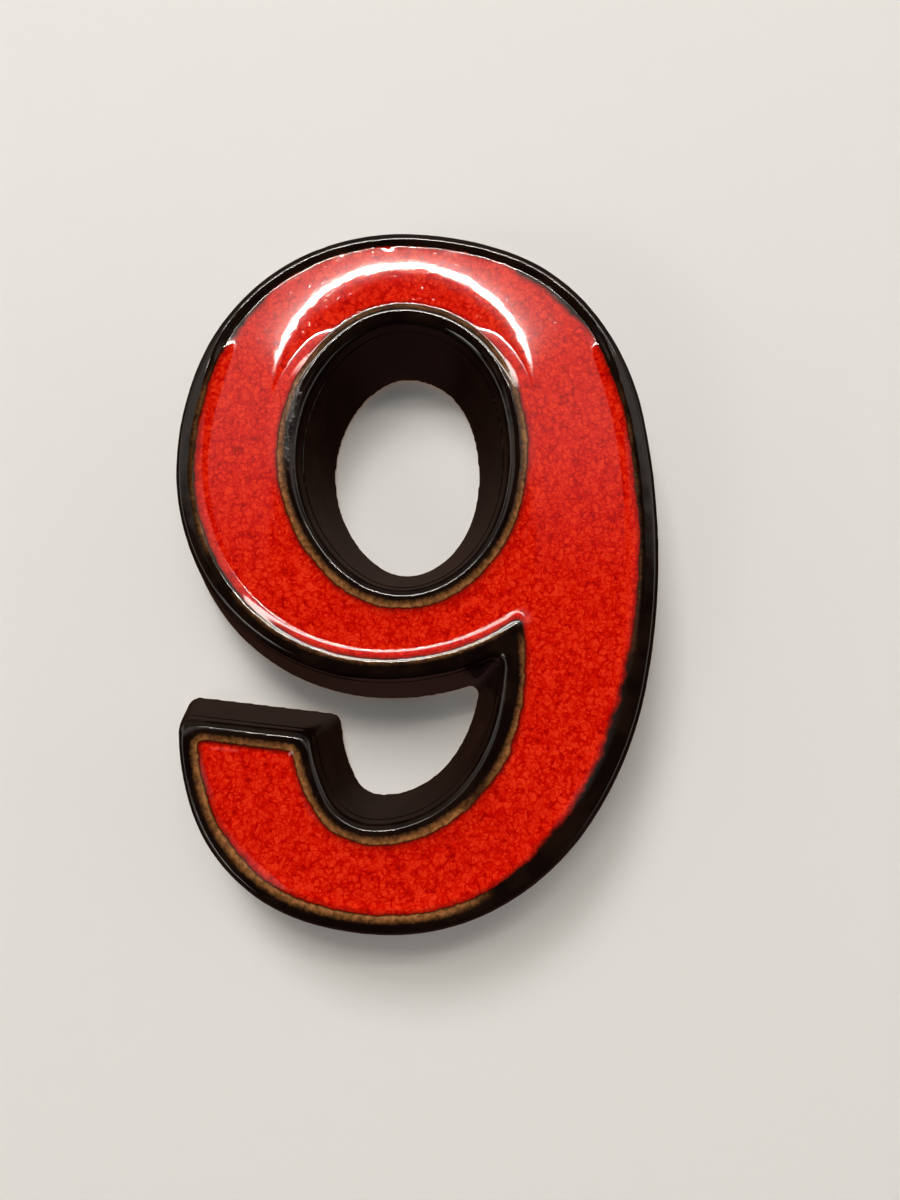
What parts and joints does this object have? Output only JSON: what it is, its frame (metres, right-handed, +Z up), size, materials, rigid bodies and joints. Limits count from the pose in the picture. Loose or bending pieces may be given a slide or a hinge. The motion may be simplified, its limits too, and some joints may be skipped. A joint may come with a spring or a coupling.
{
  "type": "house number",
  "caption": "Moulded ceramic house number nine with a mottled red glaze face inside a raised black rim, drafted side walls and an open hollow back for bonding to a wall.",
  "frame": {"origin": "middle of the flat back, on the wall plane", "axes": "+Z up as it hangs, +Y into the wall, the face looks along -Y and reads with +X to the right"},
  "size_m": [0.1244, 0.024, 0.1766],
  "materials": {
    "glaze": "glossy mottled red glaze on the face, black glaze on the rim and walls, bare clay behind"
  },
  "bodies": {
    "root": {"house_number": "glaze"}
  },
  "joints": []
}
